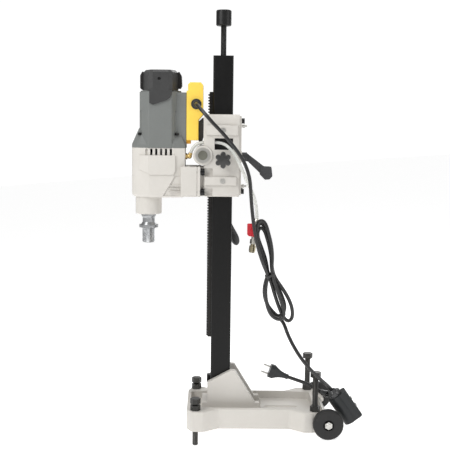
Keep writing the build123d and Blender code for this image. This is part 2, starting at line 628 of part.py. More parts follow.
# every bearing ring: centre, lower face, length, outer radius and shaft radius
bearing_rings = [
    (SPINDLE_X, 0.0, NECK_BOTTOM, 7.0, 24.4, 15.0),
    (SPINDLE_X, 0.0, 580.0, 16.0, 27.4, 15.0),
    (SPINDLE_X, 0.0, PLATE_Z, 8.0, 15.0, 7.5),
    (LAYSHAFT_X, LAYSHAFT_Y, 622.0, 10.0, 7.0, 4.0),
    (LAYSHAFT_X, LAYSHAFT_Y, PLATE_Z, 8.0, 6.0, 4.0),
    (MOTOR_X, 0.0, PLATE_Z, 8.0, 13.0, 5.0),
    (MOTOR_X, 0.0, MOTOR_TOP - 8, 8.0, 13.0, 4.0),
]
with BuildPart() as bearings:
    for x, y, z, length, outer, shaft in bearing_rings:
        rod((x, y, z), UP, outer, length)
        rod((x, y, z), UP, shaft + BORE_GAP, length, mode=Mode.SUBTRACT)
save(bearings.part, "shaft_bearings")

# ---- motor ------------------------------------------------------------------------------------------
motor_plan = mirrored([(-206.5, 19), (-183, 51.5), (-126, 51.5), (-104, 24)])
with BuildPart() as motor:
    with Locations((0, 0, PLATE_Z)):
        add(case_outline(0))
    extrude(amount=8)
    with Locations((0, 0, PLATE_Z + 8)):
        add(case_outline(0))
    extrude(amount=40, taper=24)
    plan_profile(motor_plan, PLATE_Z, MOTOR_TOP - 3, corner=5)
    rod((MOTOR_X, 0, PLATE_Z), UP, MOTOR_RADIUS - 1.5, MOTOR_TOP - PLATE_Z)
    block((-121, -36, PLATE_Z), (-90.5, 36, MOTOR_TOP - 4))
    rod((MOTOR_X, 0, PLATE_Z + 8), UP, 47.5, MOTOR_TOP - PLATE_Z - 16, mode=Mode.SUBTRACT)
    rod((MOTOR_X, 0, PLATE_Z), UP, 13, 200, mode=Mode.SUBTRACT)
    rod((SPINDLE_X, 0, PLATE_Z - 1), UP, 15, 10, mode=Mode.SUBTRACT)
    rod((LAYSHAFT_X, LAYSHAFT_Y, PLATE_Z - 1), UP, 6, 10, mode=Mode.SUBTRACT)
    for x, y in ((-206, -24), (-206, 24), (-113, -42), (-113, 42)):
        rod((x, y, 768), UP, 6.0, 60, mode=Mode.SUBTRACT)
save(motor.part, "motor_housing")

with BuildPart() as motor_screws:
    for x, y in ((-206, -24), (-206, 24), (-113, -42), (-113, 42)):
        rod((x, y, 768), UP, 4.5, 6)
        hexagon((x, y, 774.1), DOWN, 4, 3, mode=Mode.SUBTRACT)
    for side in (-1, 1):
        rod((-156, side * 49, 905), (0, side, 0), 3.9, 5)
        block((-157, side * 54 - 1, 902), (-155, side * 54 + 1, 908), mode=Mode.SUBTRACT)
save(motor_screws.part, "motor_screws")

with BuildPart() as stator:
    rod((MOTOR_X, 0, 775), UP, 47.3, 75)
    rod((MOTOR_X, 0, 770), UP, 29, 90, mode=Mode.SUBTRACT)
save(stator.part, "stator")

with BuildPart() as rotor:
    rod((MOTOR_X, 0, 702), UP, 4.0, 186)
    flat_gear(MOTOR_X, 0, 700, 18, stub(ROTOR_TEETH, FINE, lay_to_rotor + math.pi))
    rod((MOTOR_X, 0, 718), UP, 5.0, 60)
    rod((MOTOR_X, 0, 777), UP, 28.0, 70)
    rod((MOTOR_X, 0, 846), UP, 16.0, 20)
save(rotor.part, "rotor")

CAP_TOP = 927.0
cap_plan = mirrored([(-197, 22), (-182, 50), (-172, 55), (-134, 55), (-124, 50), (-112, 22)])
with BuildPart() as cap:
    plan_profile(cap_plan, MOTOR_TOP, CAP_TOP)
    chamfer(cap.edges().group_by(Axis.Z)[-1], length=6)
    tongue = [(-180, MOTOR_TOP + 2), (-180, 846), (-171, 842), (-138, 853), (-129, 860), (-125, 868), (-125, MOTOR_TOP + 2)]
    for y_low, y_high in ((-55.0, -40.0), (40.0, 55.0)):
        side_profile(tongue, y_low, y_high)
    rod((MOTOR_X, 0, MOTOR_TOP - 50), UP, MOTOR_RADIUS + 0.1, 50, mode=Mode.SUBTRACT)
    plan_profile(motor_plan, MOTOR_TOP - 50, MOTOR_TOP, mode=Mode.SUBTRACT)
    plan_profile(mirrored([(-191, 19), (-178, 46), (-170, 49), (-136, 49), (-128, 46), (-116, 19)]),
                 MOTOR_TOP, CAP_TOP - 6, mode=Mode.SUBTRACT)
    for side in (-1, 1):
        rod((-156, side * 60, 905), (0, -side, 0), 4.0, 20, mode=Mode.SUBTRACT)
save(cap.part, "motor_cap")

with BuildPart() as vents:
    side_profile([(-205, 883), (-205, 914), (-200, 923), (-197.2, 923), (-197.2, 879), (-201, 879)], -21, 21)
    side_profile([(-111.8, 883), (-111.8, 923), (-108, 923), (-103, 914), (-102, 890), (-106, 883)], -21, 21)
    for number in range(5):
        z = 888 + 7 * number
        block((-210, -16, z), (-203, 16, z + 3), mode=Mode.SUBTRACT)
        block((-105, -16, z), (-98, 16, z + 3), mode=Mode.SUBTRACT)
save(vents.part, "cap_side_vents")

# ---- switch box -------------------------------------------------------------------------------------
BOX_HALF_Y = 38.0
BOX_WALL = 3.0
GLAND_X, GLAND_Z = -66.0, 845.0
box_side = [(-90, 756), (-90, 877.5), (-86.5, 877.5), (-86.5, 893), (-81, 898), (-55, 898), (-49, 891),
            (-49, 819), (-60, 806), (-60, 756)]
box_side_inner = [(-87, 759), (-87, 875), (-83, 878), (-83, 892), (-80, 895), (-56, 895), (-52, 889),
                  (-52, 820), (-63, 807.5), (-63, 759)]
for side, name in ((-1, "switch_box_cover"), (1, "switch_box_back")):
    with BuildPart() as box_half:
        side_profile(box_side, *sorted((side * 0.2, side * BOX_HALF_Y)))
        fillet(box_half.faces().sort_by(Axis.Y)[0 if side < 0 else -1].edges(), radius=2.5)
        side_profile(box_side_inner, *sorted((0, side * (BOX_HALF_Y - BOX_WALL))), mode=Mode.SUBTRACT)
        if side < 0:
            rod((GLAND_X, -50, GLAND_Z), FAR, 8.0, 20, mode=Mode.SUBTRACT)
        else:
            block((-77.2, 20, 851.8), (-60.8, 50, 862.2), mode=Mode.SUBTRACT)
    save(box_half.part, name)

with BuildPart() as bracket:
    side_profile([(-59.6, 745), (-59.6, 803), (-50, 812), (-48, 812), (-48, 764), (-53, 745)], -26, 26)
save(bracket.part, "switch_box_bracket")

with BuildPart() as latch:
    block((-90, -30, 747.5), (-79, -4, 755.8))
    fillet(latch.edges().filter_by(Axis.Y), radius=1.5)
save(latch.part, "switch_box_latch")

with BuildPart() as rocker:
    side_view = [(-76.5, 33.0), (-76.5, 43.0), (-69.0, 39.8), (-61.5, 41.0), (-61.5, 33.0)]
    with BuildSketch(Plane.XY.offset(852.4)):
        with BuildLine():
            Polyline(*side_view, close=True)
        make_face()
    extrude(amount=9.2)
    rod((-69, 36, 851.9), UP, 1.5, 10.2)
save(rocker.part, "power_rocker")

GLAND_OUT = 20.0
with BuildPart() as gland:
    rod((GLAND_X, -BOX_HALF_Y, GLAND_Z), NEAR, 12.8, 5)
    rod((GLAND_X, -BOX_HALF_Y - 5, GLAND_Z), NEAR, 10.5, 8)
    cone((GLAND_X, -BOX_HALF_Y - 13, GLAND_Z), NEAR, 8.5, 6.2, 7)
    rod((GLAND_X, -BOX_HALF_Y, GLAND_Z), FAR, 7.9, 3.2)
    rod((GLAND_X, -60, GLAND_Z), FAR, CORD_RADIUS, 40, mode=Mode.SUBTRACT)
save(gland.part, "cable_gland")

# ---- water supply -----------------------------------------------------------------------------------
with BuildPart() as elbow:
    rod((WATER_X - 10, WATER_Y, WATER_Z), REAR, 4.0, 11)
    hexagon((WATER_X, WATER_Y, WATER_Z), REAR, 13, 5)
    with Locations((WATER_X + 10, WATER_Y, WATER_Z)):
        Sphere(6.2)
    rod((WATER_X + 4, WATER_Y, WATER_Z), REAR, 5.0, 6)
    rod((WATER_X + 10, WATER_Y, WATER_Z), (0.34, 0, 0.94), 5.2, 8.5)
save(elbow.part, "water_elbow")

hose_points = [
    (-79.1, -36, 725), (-75.2, -36.5, 736.2), (-66.9, -38, 745.6), (-55.3, -39.5, 750.7), (-40, -41, 751.6),
    (-22, -41.5, 752), (-6, -43.5, 751), (7, -48, 746.5), (19, -54, 736), (33, -61, 717), (44, -64, 695), (55, -66, 669), (67, -66, 644), (77, -65, 622),
    (83, -63, 601), (85.5, -62, 582), (86, -62, 566),
]
save(cord_tube(hose_points, HOSE_RADIUS, "water_hose"), "water_hose")

TAP_TOP = Vector(86, -62, 566)
TAP_BOTTOM = Vector(74, -62, 482)
TAP_DIRECTION = (TAP_BOTTOM - TAP_TOP).normalized()


def along_tap(distance):
    """A point on the tap's own line, below the hose's end."""
    return tuple(TAP_TOP + TAP_DIRECTION * distance)


with BuildPart() as tap_body:
    cone(along_tap(0), TAP_DIRECTION, 5.0, 6.5, 6)
    rod(along_tap(6), TAP_DIRECTION, 5.2, 8)
    hexagon(along_tap(14), TAP_DIRECTION, 14, 14)
    rod(along_tap(27), TAP_DIRECTION, 5.5, 6)
    with Locations(along_tap(38)):
        Sphere(8.5)
    rod(along_tap(44), TAP_DIRECTION, 6.5, 8)
    hexagon(along_tap(52), TAP_DIRECTION, 15, 11)
save(tap_body.part, "tap_body")

with BuildPart() as tap_coupler:
    rod(along_tap(63), TAP_DIRECTION, 6.0, 5)
    rod(along_tap(68), TAP_DIRECTION, 8.2, 13)
    rod(along_tap(81), TAP_DIRECTION, 7.0, 3.8)
    rod(along_tap(64), TAP_DIRECTION, 4.5, 30, mode=Mode.SUBTRACT)
save(tap_coupler.part, "tap_coupler")

TAP_PIVOT = Vector(*along_tap(38))
with BuildPart() as tap_lever:
    pivot = (TAP_PIVOT.X, TAP_PIVOT.Y, TAP_PIVOT.Z)
    rod((pivot[0], pivot[1] - 8.9, pivot[2]), NEAR, 6.5, 3.5)
    lever_view = [(-19, 0), (-19, 25), (-17, 27), (-7, 27), (-5, 25), (-5, 7), (4, 5), (0, -6), (-15, -4)]
    side_profile([(pivot[0] + x, pivot[2] + z) for x, z in lever_view], pivot[1] - 15.4, pivot[1] - 8.9)
save(tap_lever.part, "tap_lever")

# ---- mains cord -------------------------------------------------------------------------------------
upper_points = [
    (-66, -58.8, 845), (-65, -78, 844), (-59, -98, 837), (-46, -113, 823), (-26, -121, 800), (1, -120, 773),
    (31, -119, 737), (51, -118, 708), (65, -118, 669), (68, -117, 625), (72, -117, 583), (77, -117, 546),
    (84, -117, 512), (92, -116, 484), (101, -113, 459), (109, -107, 441),
]
save(cord_tube(upper_points, CORD_RADIUS, "mains_cord_upper"), "mains_cord_upper")

hank_outline = [(82, 553), (90, 573), (100, 572), (124, 520), (126, 470), (130, 440), (150, 402), (170, 375),
                (183, 345), (182, 322), (166, 311), (135, 317), (110, 345), (102, 390), (113, 436), (112, 470),
                (100, 512), (84, 538)]
with BuildPart() as hank:
    side_profile(hank_outline, -107, -84)
save(hank.part, "mains_cord_hank")

with BuildPart() as tie:
    tie_plane = Plane(origin=(121, -95.5, 431), x_dir=(0, 1, 0), z_dir=(0.42, 0, -0.9))
    with BuildSketch(tie_plane.offset(-5)) as band:
        RectangleRounded(46, 31, 9)
    extrude(band.sketch, amount=10)
    add(hank.part, mode=Mode.SUBTRACT)
    rod(upper_points[-2], Vector(*upper_points[-1]) - Vector(*upper_points[-2]), CORD_RADIUS, 40, mode=Mode.SUBTRACT)
save(tie.part, "cord_tie")

lower_points = [
    (156, -84, 313), (159.5, -88.5, 301), (164.5, -95.5, 288), (174, -106, 266), (190, -117, 238), (211, -122, 211),
    (232, -121, 189), (251, -111, 170), (266, -98, 155), (276, -88, 143),
]
save(cord_tube(lower_points, CORD_RADIUS, "mains_cord_lower"), "mains_cord_lower")

# in-line safety switch, held by the cord's own stiffness behind the near wheel
RCD_START = Vector(276, -85, 141)
RCD_DIRECTION = Vector(57, 0, -80).normalized()
RCD_NORMAL = Vector(80, 0, 57).normalized()
RCD_AXIS_Y = -85.0


def along_rcd(distance, out=0.0, y=RCD_AXIS_Y):
    """A point of the in-line switch, along its axis and out towards its buttons."""
    spot = RCD_START + RCD_DIRECTION * distance + RCD_NORMAL * out
    return (spot.X, y, spot.Z)


RCD_PLANE = Plane(origin=along_rcd(0), x_dir=tuple(RCD_NORMAL), z_dir=tuple(RCD_DIRECTION))
with BuildPart() as rcd_nut:
    cone(along_rcd(1), tuple(RCD_DIRECTION), 9.5, 13.5, 6)
    rod(along_rcd(7), tuple(RCD_DIRECTION), 16.5, 11)
    for number in range(16):
        angle = 2 * math.pi * number / 16
        out = 16.5 * math.cos(angle)
        across = RCD_AXIS_Y + 16.5 * math.sin(angle)
        rod(along_rcd(8, out, across), tuple(RCD_DIRECTION), 1.6, 9)
    rod(lower_points[-2], Vector(*lower_points[-1]) - Vector(*lower_points[-2]), CORD_RADIUS, 60, mode=Mode.SUBTRACT)

with BuildPart() as rcd_body:
    with BuildSketch(RCD_PLANE.offset(18)) as section:
        Circle(21)
        with Locations((11, 0)):
            RectangleRounded(36, 37, 9)
    extrude(section.sketch, amount=76)
    fillet(rcd_body.edges().group_by(SortBy.LENGTH)[-1], radius=1)
    with Locations(Plane(origin=along_rcd(56, 31), x_dir=tuple(RCD_DIRECTION), z_dir=tuple(RCD_NORMAL))):
        Box(44, 24, 14, mode=Mode.SUBTRACT)

with BuildPart() as rcd_panel:
    with Locations(Plane(origin=along_rcd(56, 25.9), x_dir=tuple(RCD_DIRECTION), z_dir=tuple(RCD_NORMAL))):
        Box(43.6, 23.6, 3.6)
        with Locations((-10, 0), (10, 0)):
            Cylinder(4.6, 10, mode=Mode.SUBTRACT)
save(rcd_body.part + rcd_panel.part, "rcd_body")

for name, distance in (("rcd_test_button", 46), ("rcd_reset_button", 66)):
    with BuildPart() as button:
        with Locations(Plane(origin=along_rcd(distance, 26.2), x_dir=tuple(RCD_DIRECTION), z_dir=tuple(RCD_NORMAL))):
            Cylinder(4.5, 5, align=LOW)
    save(button.part, name)

plug_cord_points = [
    (254, -66, 130), (244, -63, 135), (230, -61, 143), (211, -60, 152), (190, -60, 159), (170, -60, 166),
]
with BuildPart() as boot:
    boot_end = Vector(*plug_cord_points[0])
    boot_start = Vector(268, -76, 127)
    cone(tuple(boot_start), tuple(boot_end - boot_start), 8.5, 6.0, (boot_end - boot_start).length)
    add(rcd_body.part, mode=Mode.SUBTRACT)
    add(rcd_nut.part, mode=Mode.SUBTRACT)
save(boot.part + rcd_nut.part, "rcd_glands")
save(cord_tube(plug_cord_points, CORD_RADIUS, "plug_cord"), "plug_cord")

PLUG_START = Vector(*plug_cord_points[-1])
PLUG_DIRECTION = Vector(-50, 0, 18).normalized()
PLUG_CROSS = Vector(18, 0, 50).normalized()


def along_plug(distance, across=0.0):
    """A point of the plug, along its axis and across it."""
    spot = PLUG_START + PLUG_DIRECTION * distance + PLUG_CROSS * across
    return (spot.X, spot.Y, spot.Z)


with BuildPart() as plug:
    with BuildSketch(Plane(origin=along_plug(0), x_dir=tuple(PLUG_CROSS), z_dir=tuple(PLUG_DIRECTION))) as thin_end:
        RectangleRounded(13, 12, 5)
    with BuildSketch(Plane(origin=along_plug(20), x_dir=tuple(PLUG_CROSS), z_dir=tuple(PLUG_DIRECTION))) as waist:
        RectangleRounded(17, 15, 6)
    with BuildSketch(Plane(origin=along_plug(38), x_dir=tuple(PLUG_CROSS), z_dir=tuple(PLUG_DIRECTION))) as face:
        RectangleRounded(34, 24, 9)
    loft([thin_end.sketch, waist.sketch, face.sketch])
    extrude(face.sketch, amount=12)
save(plug.part, "plug_body")

with BuildPart() as pins:
    for across in (-9.5, 9.5):
        rod(along_plug(50, across), tuple(PLUG_DIRECTION), 2.4, 19)
save(pins.part, "plug_pins")
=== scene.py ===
import bpy
import bmesh
import math
from mathutils import Matrix, Vector


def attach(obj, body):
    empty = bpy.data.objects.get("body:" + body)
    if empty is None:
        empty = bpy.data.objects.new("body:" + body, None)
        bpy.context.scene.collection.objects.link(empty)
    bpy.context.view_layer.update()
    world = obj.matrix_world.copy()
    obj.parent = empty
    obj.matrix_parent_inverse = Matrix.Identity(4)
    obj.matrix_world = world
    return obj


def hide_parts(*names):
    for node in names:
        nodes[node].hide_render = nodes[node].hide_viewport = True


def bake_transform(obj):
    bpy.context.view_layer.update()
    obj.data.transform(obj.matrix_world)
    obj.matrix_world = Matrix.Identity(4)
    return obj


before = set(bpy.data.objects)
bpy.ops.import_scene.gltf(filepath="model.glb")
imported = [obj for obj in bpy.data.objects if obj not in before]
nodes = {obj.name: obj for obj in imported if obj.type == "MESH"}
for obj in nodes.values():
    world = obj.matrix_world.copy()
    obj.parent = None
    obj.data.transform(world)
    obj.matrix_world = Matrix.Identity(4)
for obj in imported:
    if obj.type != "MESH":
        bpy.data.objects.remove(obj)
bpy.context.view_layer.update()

COLUMN_X = -0.03825          # the column's axis in the rig's frame
FLOOR_TILT = math.radians(4.67)
FLOOR_TOUCH = Vector((-0.0565 + COLUMN_X, 0.0, 0.0))
FLOOR_RADIUS = 14.0
FLOOR_GAP = 0.0004           # keeps the floor just clear of what stands on it


# ---- helpers -------------------------------------------------------------------------------------
def from_column(x, y, z):
    """A point given from the column's axis, in the rig's frame."""
    return (x + COLUMN_X, y, z)


def shown(name, data):
    """A new object in the scene, for a mesh, a curve, a lamp or a camera."""
    thing = bpy.data.objects.new(name, data)
    bpy.context.scene.collection.objects.link(thing)
    return thing


def shown_mesh(name, work):
    """A finished bmesh as an object in the scene."""
    mesh = bpy.data.meshes.new(name)
    work.to_mesh(mesh)
    work.free()
    return shown(name, mesh)


def raise_copy(work, made, height):
    """Lifts the corners that an extrusion has just made."""
    risen = [part for part in made["geom"] if isinstance(part, bmesh.types.BMVert)]
    bmesh.ops.translate(work, verts=risen, vec=(0.0, 0.0, height))


# ---- camera and light ----------------------------------------------------------------------------
CAMERA_PLACE = (-0.06595, -2.266, 0.7932)
CAMERA_PAN = -0.0071         # radians
CAMERA_DIP = 0.1188
CAMERA_ROLL = 0.0099
LENS_LENGTH = 71.94
LENS_SHIFT = (0.0176, 0.0174)

AMBIENT = 0.36               # soft light from all round
BACKDROP = 1.05              # the same air as the camera sees it, white
RIG_MIDDLE = (0.0, 0.0, 0.55)
RIG_UPPER = (-0.1, 0.0, 0.85)
# each lamp's place, what it points at, its width and height, and its power
SOFTBOXES = {
    "softbox_left": ((-1.6, -1.4, 1.9), RIG_UPPER, 1.1, 1.3, 31.0),
    "softbox_right": ((1.9, -0.9, 1.2), RIG_MIDDLE, 0.6, 1.6, 9.0),
    "softbox_top": ((-0.2, -0.3, 2.5), RIG_MIDDLE, 1.6, 1.6, 17.0),
    "softbox_back": ((0.6, 2.0, 1.6), RIG_MIDDLE, 1.4, 1.4, 14.0),
}


def add_camera():
    lens = bpy.data.cameras.new("studio_camera")
    lens.sensor_width = 36.0
    lens.lens = LENS_LENGTH
    lens.shift_x, lens.shift_y = LENS_SHIFT
    lens.clip_end = 100.0
    camera = shown("studio_camera", lens)
    pan = Matrix.Rotation(CAMERA_PAN, 4, "Z")
    dip = Matrix.Rotation(math.pi / 2 - CAMERA_DIP, 4, "X")
    roll = Matrix.Rotation(CAMERA_ROLL, 4, "Z")
    camera.matrix_world = Matrix.Translation(CAMERA_PLACE) @ pan @ dip @ roll
    bpy.context.scene.camera = camera


def add_softbox(name, place, target, width, height, power):
    lamp = bpy.data.lights.new(name, "AREA")
    lamp.shape = "RECTANGLE"
    lamp.size = width
    lamp.size_y = height
    lamp.energy = power
    softbox = shown(name, lamp)
    softbox.location = place
    softbox.rotation_euler = (Vector(target) - Vector(place)).to_track_quat("-Z", "Y").to_euler()


def add_air():
    """Even light from all round, which the camera itself sees as a white backdrop."""
    world = bpy.data.worlds.new("studio_air")
    world.use_nodes = True
    tree = world.node_tree
    air = tree.nodes["Background"]
    air.inputs["Color"].default_value = (1.0, 1.0, 1.0, 1.0)
    seen = tree.nodes.new("ShaderNodeLightPath").outputs["Is Camera Ray"]
    strength = tree.nodes.new("ShaderNodeMapRange")
    strength.inputs["To Min"].default_value = AMBIENT
    strength.inputs["To Max"].default_value = BACKDROP
    tree.links.new(seen, strength.inputs["Value"])
    tree.links.new(strength.outputs["Result"], air.inputs["Strength"])
    bpy.context.scene.world = world
    bpy.context.scene.view_settings.view_transform = "Standard"


def add_floor():
    """The floor touches the front levelling screws and the wheels, so it slopes a little."""
    sheet = bmesh.new()
    bmesh.ops.create_circle(sheet, cap_ends=True, radius=FLOOR_RADIUS, segments=96)
    slope = Matrix.Rotation(-FLOOR_TILT, 3, "Y")
    bmesh.ops.rotate(sheet, verts=sheet.verts, cent=(0, 0, 0), matrix=slope)
    bmesh.ops.translate(sheet, verts=sheet.verts, vec=FLOOR_TOUCH - Vector((0, 0, FLOOR_GAP)))
    floor = shown_mesh("studio_floor", sheet)
    return floor


add_camera()
add_air()
for softbox_name, settings in SOFTBOXES.items():
    add_softbox(softbox_name, *settings)
studio_floor = add_floor()


# ---- cords: their own routes come first ----------------------------------------------------------
def nurbs_route(name, points, thickness):
    """A smooth open line with the route's points as its control points.

    Each point's radius carries the cord's thickness, so that the line's bounds are the cord's.
    """
    line = bpy.data.curves.new(name, "CURVE")
    line.dimensions = "3D"
    line.resolution_u = 10
    line.bevel_resolution = 4
    line.use_fill_caps = True
    spline = line.splines.new("NURBS")
    spline.points.add(len(points) - 1)
    for spot, place in zip(spline.points, points):
        spot.co = (*place, 1.0)
        spot.radius = thickness / 2
    spline.order_u = 3
    spline.use_endpoint_u = True
    line.bevel_depth = 1.0
    return shown(name, line)


def line_through(route):
    """The points that a route's bare centre line follows, without the ones that fall together."""
    route.data.bevel_depth = 0.0
    route.data.use_fill_caps = False
    bpy.context.view_layer.update()
    path = []
    for vertex in bpy.data.meshes.new_from_object(route).vertices:
        if not path or (vertex.co - Vector(path[-1])).length > 0.0004:
            path.append(tuple(vertex.co))
    return path


def tube_from_route(name, points, thickness):
    """A closed mesh tube along the route, and the points that its centre follows."""
    route = nurbs_route(name + "_route", points, thickness)
    bpy.context.view_layer.update()
    tube_mesh = bpy.data.meshes.new_from_object(route)
    path = line_through(route)
    bpy.data.objects.remove(route)
    work = bmesh.new()
    work.from_mesh(tube_mesh)
    bmesh.ops.remove_doubles(work, verts=work.verts, dist=1e-6)
    bmesh.ops.recalc_face_normals(work, faces=work.faces)
    work.to_mesh(tube_mesh)
    work.free()
    tube_mesh.name = name
    for face in tube_mesh.polygons:
        face.use_smooth = True
    return shown(name, tube_mesh), path


cord_down = [
    (-0.066, -0.0588, 0.845), (-0.065, -0.078, 0.844), (-0.059, -0.098, 0.837), (-0.046, -0.113, 0.823),
    (-0.026, -0.121, 0.800), (0.001, -0.120, 0.773), (0.031, -0.119, 0.737), (0.051, -0.118, 0.708),
    (0.065, -0.118, 0.669), (0.068, -0.117, 0.625), (0.072, -0.117, 0.583), (0.077, -0.117, 0.546),
    (0.084, -0.117, 0.512), (0.092, -0.116, 0.484), (0.101, -0.113, 0.459), (0.109, -0.108, 0.441),
]
# the turns of the hank, x and z: the lower lobe, down from the tie and up to it, then the way over the top
left_lobe = [
    (0.1130, 0.431), (0.1090, 0.416), (0.1070, 0.398), (0.1080, 0.378), (0.1120, 0.355),
    (0.1200, 0.336), (0.1330, 0.325), (0.1465, 0.3235), (0.1535, 0.334), (0.1510, 0.353),
    (0.1435, 0.375), (0.1350, 0.398), (0.1275, 0.418), (0.1230, 0.434),
]
right_lobe = [
    (0.1150, 0.432), (0.1205, 0.416), (0.1265, 0.396), (0.1340, 0.372), (0.1430, 0.348),
    (0.1525, 0.327), (0.1640, 0.3165), (0.1735, 0.323), (0.1755, 0.340), (0.1700, 0.362),
    (0.1590, 0.384), (0.1455, 0.404), (0.1330, 0.421), (0.1255, 0.436),
]
middle_lobe = [
    (0.1130, 0.431), (0.1085, 0.413), (0.1065, 0.392), (0.1095, 0.368), (0.1180, 0.346),
    (0.1300, 0.331), (0.1440, 0.3275), (0.1545, 0.337), (0.1570, 0.353), (0.1510, 0.374),
    (0.1410, 0.396), (0.1310, 0.416), (0.1240, 0.434),
]
tall_loop = [
    (0.1215, 0.455), (0.1225, 0.480), (0.1195, 0.508), (0.1115, 0.538), (0.1065, 0.555),
    (0.0990, 0.5655), (0.0900, 0.5650), (0.0850, 0.556), (0.0842, 0.541), (0.0865, 0.523),
    (0.0925, 0.500), (0.1010, 0.476), (0.1085, 0.452),
]
low_loop = [
    (0.1220, 0.456), (0.1200, 0.480), (0.1150, 0.504), (0.1085, 0.526), (0.1040, 0.539),
    (0.0978, 0.5470), (0.0905, 0.5460), (0.0866, 0.537), (0.0872, 0.524), (0.0925, 0.509),
    (0.0995, 0.491), (0.1060, 0.473), (0.1110, 0.452),
]
middle_loop = [
    (0.1215, 0.456), (0.1212, 0.480), (0.1170, 0.507), (0.1095, 0.533), (0.1052, 0.547),
    (0.0982, 0.5565), (0.0905, 0.5560), (0.0860, 0.547), (0.0858, 0.532), (0.0905, 0.513),
    (0.0985, 0.491), (0.1060, 0.471), (0.1115, 0.451),
]
HANK_TURNS = [(left_lobe, tall_loop), (right_lobe, low_loop), (middle_lobe, middle_loop)]
HANK_NEAR_Y = -0.108
HANK_PITCH = 0.0094          # from one turn to the next behind it, a little over the cord's thickness
cord_hank = []
for turn, (lobe, loop) in enumerate(HANK_TURNS):
    depth = HANK_NEAR_Y + HANK_PITCH * turn
    cord_hank += [(x, depth, z) for x, z in lobe]
    cord_hank += [(x, depth + HANK_PITCH * (step + 1) / len(loop), z) for step, (x, z) in enumerate(loop)]
cord_out = [
    (0.114, -0.0798, 0.430), (0.107, -0.0794, 0.407), (0.105, -0.0790, 0.383), (0.111, -0.0788, 0.359),
    (0.124, -0.0790, 0.340), (0.141, -0.0800, 0.325), (0.153, -0.0830, 0.312), (0.159, -0.088, 0.299),
    (0.163, -0.095, 0.287), (0.174, -0.106, 0.264), (0.190, -0.117, 0.238), (0.211, -0.122, 0.211),
    (0.232, -0.121, 0.189), (0.251, -0.111, 0.170), (0.266, -0.098, 0.155), (0.276, -0.088, 0.143),
]
CORD_THICKNESS = 0.009
mains_route = [from_column(*p) for p in cord_down + cord_hank + cord_out]
mains_cord, mains_path = tube_from_route("mains_cord", mains_route, CORD_THICKNESS)
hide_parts("mains_cord_upper", "mains_cord_hank", "mains_cord_lower")

BAND_HALF_DEPTH = 0.0204
BAND_HALF_WIDTH = 0.0128
BAND_SQUARENESS = 0.55       # 1 is an oval, 0 a rectangle
BAND_HEIGHT = 0.0052
BAND_WALL = 0.0011
BAND_LEAN = math.radians(-25.0)


def add_tie_band():
    """The strap that holds the hank together, a flat rounded band round its waist."""
    band = bmesh.new()
    bmesh.ops.create_circle(band, cap_ends=False, radius=1.0, segments=64)
    for spot in band.verts:
        x, y = spot.co.x, spot.co.y
        spot.co.x = math.copysign(abs(x) ** BAND_SQUARENESS, x) * BAND_HALF_DEPTH
        spot.co.y = math.copysign(abs(y) ** BAND_SQUARENESS, y) * BAND_HALF_WIDTH
    raise_copy(band, bmesh.ops.extrude_edge_only(band, edges=band.edges), BAND_HEIGHT)
    bmesh.ops.recalc_face_normals(band, faces=band.faces)
    bmesh.ops.solidify(band, geom=band.faces[:], thickness=BAND_WALL)
    bmesh.ops.recalc_face_normals(band, faces=band.faces)
    lean = Matrix.Rotation(BAND_LEAN, 4, "Y") @ Matrix.Rotation(math.pi / 2, 4, "Z")
    centre = Matrix.Translation(from_column(0.1195, -0.0952, 0.4290))
    bmesh.ops.transform(band, verts=band.verts, matrix=centre @ lean)
    return shown_mesh("tie_band", band)


tie_band = add_tie_band()
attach(tie_band, "stand")
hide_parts("cord_tie")
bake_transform(mains_cord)

plug_route = [from_column(*p) for p in [
    (0.254, -0.066, 0.130), (0.244, -0.063, 0.135), (0.230, -0.061, 0.143), (0.211, -0.060, 0.152),
    (0.190, -0.060, 0.159), (0.170, -0.060, 0.166),
]]
plug_lead = nurbs_route("plug_lead", plug_route, CORD_THICKNESS)
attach(plug_lead, "stand")
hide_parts("plug_cord")

HOSE_THICKNESS = 0.008
hose_points = [from_column(*p) for p in [
    (-0.0791, -0.036, 0.725), (-0.0752, -0.0365, 0.7362), (-0.0669, -0.038, 0.7456),
    (-0.0553, -0.0395, 0.7507), (-0.040, -0.041, 0.7516), (-0.022, -0.0415, 0.752),
    (-0.006, -0.0435, 0.751), (0.007, -0.048, 0.7465), (0.019, -0.054, 0.736), (0.033, -0.061, 0.717),
    (0.044, -0.064, 0.695), (0.055, -0.066, 0.669), (0.067, -0.066, 0.644), (0.077, -0.065, 0.622),
    (0.083, -0.063, 0.601), (0.0855, -0.062, 0.582), (0.086, -0.062, 0.566),
]]
water_line = nurbs_route("water_line", hose_points, HOSE_THICKNESS)
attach(water_line, "carriage")
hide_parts("water_hose")

# ---- lock knob -----------------------------------------------------------------------------------
KNOB_PLACE = from_column(0.0008, -0.0625, 0.7097)
KNOB_LOBES = 6
KNOB_VALLEY = 0.0136         # radius between two lobes
KNOB_LOBE = 0.0069           # how far a lobe stands out
KNOB_FULLNESS = 0.8          # under 1 makes the lobes broader
KNOB_THICKNESS = 0.0140
KNOB_EDGE = 0.0026


